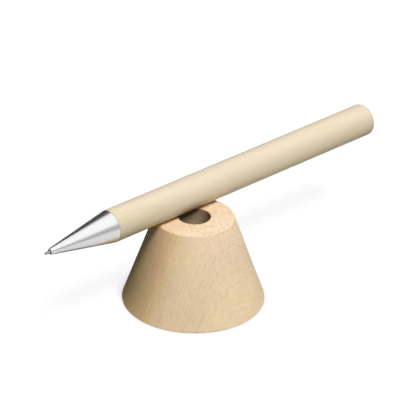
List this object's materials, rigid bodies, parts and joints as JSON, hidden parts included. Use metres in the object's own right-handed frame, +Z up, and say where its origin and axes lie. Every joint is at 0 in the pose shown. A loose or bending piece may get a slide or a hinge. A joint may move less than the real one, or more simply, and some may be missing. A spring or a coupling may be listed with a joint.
{
  "type": "pen stand",
  "caption": "Turned wooden cone stand with a bore for a pen, and its round wooden pen with a screwed metal nose lying across the flat top.",
  "frame": {"origin": "centre of the stand's foot, on the surface it stands on", "axes": "+Z up along the stand's bore, +X along the pen towards its rear end"},
  "size_m": [0.1794, 0.0598, 0.0527],
  "materials": {
    "stand_wood": "bare pale close-grained wood, sanded smooth",
    "barrel_wood": "pale close-grained wood with a satin finish",
    "bush_brass": "turned",
    "nose_metal": "fine turned satin",
    "point_metal": "bright turned",
    "ball_metal": "polished hard metal",
    "tube_plastic": "translucent",
    "ink": "black ink",
    "cap_plastic": "moulded",
    "spring_steel": "drawn wire",
    "seat_plastic": "moulded"
  },
  "bodies": {
    "stand": {"stand_block": "stand_wood"},
    "pen": {"barrel": "barrel_wood", "thread_bush": "bush_brass", "spring_seat": "seat_plastic", "refill_spring": "spring_steel"},
    "refill": {"refill_point": "point_metal", "refill_tube": "tube_plastic", "refill_ink": "ink", "refill_end_cap": "cap_plastic"},
    "nose": {"nose_cone": "nose_metal"},
    "ball": {"point_ball": "ball_metal"}
  },
  "joints": [
    {"name": "pen_lift", "type": "slide", "parent": "stand", "child": "pen", "axis": [0, 0.7071, 0.7071], "range_m": [0, 0.09]},
    {"name": "refill_advance", "type": "slide", "parent": "pen", "child": "refill", "axis": [-1, 0, 0], "range_m": [0, 0.006], "deforming": ["refill_spring"]},
    {"name": "nose_turn", "type": "hinge", "parent": "refill", "child": "nose", "pos_m": [-0.0404, 0.00675, 0.04573], "axis": [-1, 0, 0], "range_deg": [0, 2880]},
    {"name": "ball_roll", "type": "hinge", "parent": "refill", "child": "ball", "pos_m": [-0.07435, 0.00675, 0.04573], "axis": [0, 1, 0], "continuous": true}
  ],
  "couplings": [
    {"joint": "nose_turn", "follows": "refill_advance", "rad_per_m": 8377.6}
  ]
}
